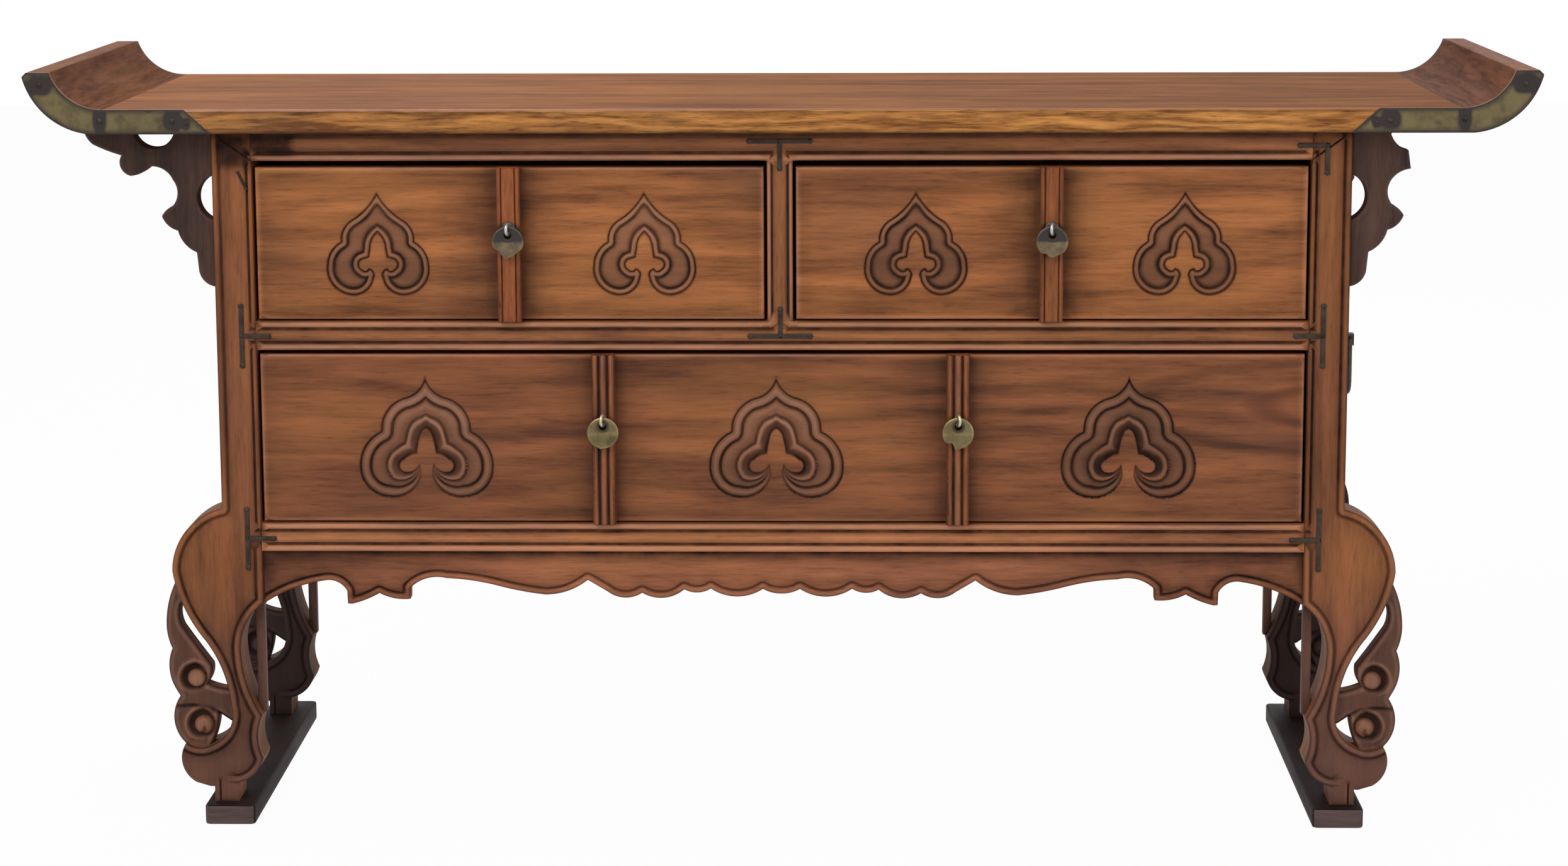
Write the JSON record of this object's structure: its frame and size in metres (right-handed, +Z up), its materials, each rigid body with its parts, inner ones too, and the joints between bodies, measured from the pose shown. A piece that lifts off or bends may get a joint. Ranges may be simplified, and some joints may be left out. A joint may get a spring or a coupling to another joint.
{
  "type": "low chest of drawers",
  "caption": "Low wooden chest of drawers with upturned scroll ends, cabriole legs with pierced scrolls on sled feet, a scalloped apron, carved cloud heads and drop pulls.",
  "frame": {"origin": "on the floor below the middle of the chest's box", "axes": "+X along the front to the right, +Y from front to back, +Z up"},
  "size_m": [1.22, 0.33, 0.63],
  "materials": {
    "frame_wood": "satin",
    "top_wood": "satin",
    "drawer_front_wood": "satin",
    "inner_wood": "matte",
    "aged_brass": "aged",
    "dark_iron": "matte"
  },
  "bodies": {
    "carcass": {"apron_front": "frame_wood", "back_panels": "inner_wood", "bottom_rail_front": "frame_wood", "brackets_front": "frame_wood", "brackets_rear": "frame_wood", "centre_post": "frame_wood", "edge_strap_left": "aged_brass", "edge_strap_right": "aged_brass", "handle_lugs": "dark_iron", "joint_straps": "dark_iron", "leg_front_left": "frame_wood", "leg_front_right": "frame_wood", "leg_rear_left": "frame_wood", "leg_rear_right": "frame_wood", "leg_stays": "frame_wood", "lower_dust_board": "inner_wood", "lower_guides": "inner_wood", "middle_rail_front": "frame_wood", "rails_rear": "inner_wood", "runner_left": "frame_wood", "runner_right": "frame_wood", "scroll_end_left": "top_wood", "scroll_end_right": "top_wood", "side_panel_left": "frame_wood", "side_panel_right": "frame_wood", "side_rails_left": "frame_wood", "side_rails_right": "frame_wood", "strap_nails": "dark_iron", "top_board": "top_wood", "top_rail_front": "frame_wood", "upper_dust_board": "inner_wood", "upper_guides": "inner_wood", "wings_front": "frame_wood", "wings_rear": "frame_wood"},
    "drawer_upper_left": {"drawer_upper_left_batten": "drawer_front_wood", "drawer_upper_left_bottom": "inner_wood", "drawer_upper_left_box": "inner_wood", "drawer_upper_left_eye": "dark_iron", "drawer_upper_left_front": "drawer_front_wood"},
    "drawer_upper_right": {"drawer_upper_right_batten": "drawer_front_wood", "drawer_upper_right_bottom": "inner_wood", "drawer_upper_right_box": "inner_wood", "drawer_upper_right_eye": "dark_iron", "drawer_upper_right_front": "drawer_front_wood"},
    "drawer_lower": {"drawer_lower_batten_left": "drawer_front_wood", "drawer_lower_batten_right": "drawer_front_wood", "drawer_lower_bottom": "inner_wood", "drawer_lower_box": "inner_wood", "drawer_lower_eyes": "dark_iron", "drawer_lower_front": "drawer_front_wood"},
    "pull_lower_left": {"pull_lower_left": "aged_brass"},
    "pull_lower_right": {"pull_lower_right": "aged_brass"},
    "pull_upper_left": {"pull_upper_left": "aged_brass"},
    "pull_upper_right": {"pull_upper_right": "aged_brass"},
    "side_bail_left": {"side_bail_left": "dark_iron"},
    "side_bail_right": {"side_bail_right": "dark_iron"}
  },
  "joints": [
    {"name": "drawer_upper_left_slide", "type": "slide", "parent": "carcass", "child": "drawer_upper_left", "axis": [0, -1, 0], "range_m": [0, 0.22]},
    {"name": "drawer_upper_right_slide", "type": "slide", "parent": "carcass", "child": "drawer_upper_right", "axis": [0, -1, 0], "range_m": [0, 0.22]},
    {"name": "drawer_lower_slide", "type": "slide", "parent": "carcass", "child": "drawer_lower", "axis": [0, -1, 0], "range_m": [0, 0.22]},
    {"name": "pull_upper_left_swing", "type": "hinge", "parent": "drawer_upper_left", "child": "pull_upper_left", "pos_m": [-0.22025, -0.1593, 0.502], "axis": [-1, 0, 0], "range_deg": [0, 150]},
    {"name": "pull_upper_right_swing", "type": "hinge", "parent": "drawer_upper_right", "child": "pull_upper_right", "pos_m": [0.22025, -0.1593, 0.502], "axis": [-1, 0, 0], "range_deg": [0, 150]},
    {"name": "pull_lower_left_swing", "type": "hinge", "parent": "drawer_lower", "child": "pull_lower_left", "pos_m": [-0.145, -0.1593, 0.3445], "axis": [-1, 0, 0], "range_deg": [0, 150]},
    {"name": "pull_lower_right_swing", "type": "hinge", "parent": "drawer_lower", "child": "pull_lower_right", "pos_m": [0.145, -0.1593, 0.3445], "axis": [-1, 0, 0], "range_deg": [0, 150]},
    {"name": "side_bail_left_swing", "type": "hinge", "parent": "carcass", "child": "side_bail_left", "pos_m": [-0.4795, 0, 0.39], "axis": [0, 1, 0], "range_deg": [0, 170]},
    {"name": "side_bail_right_swing", "type": "hinge", "parent": "carcass", "child": "side_bail_right", "pos_m": [0.4795, 0, 0.39], "axis": [0, -1, 0], "range_deg": [0, 170]}
  ]
}
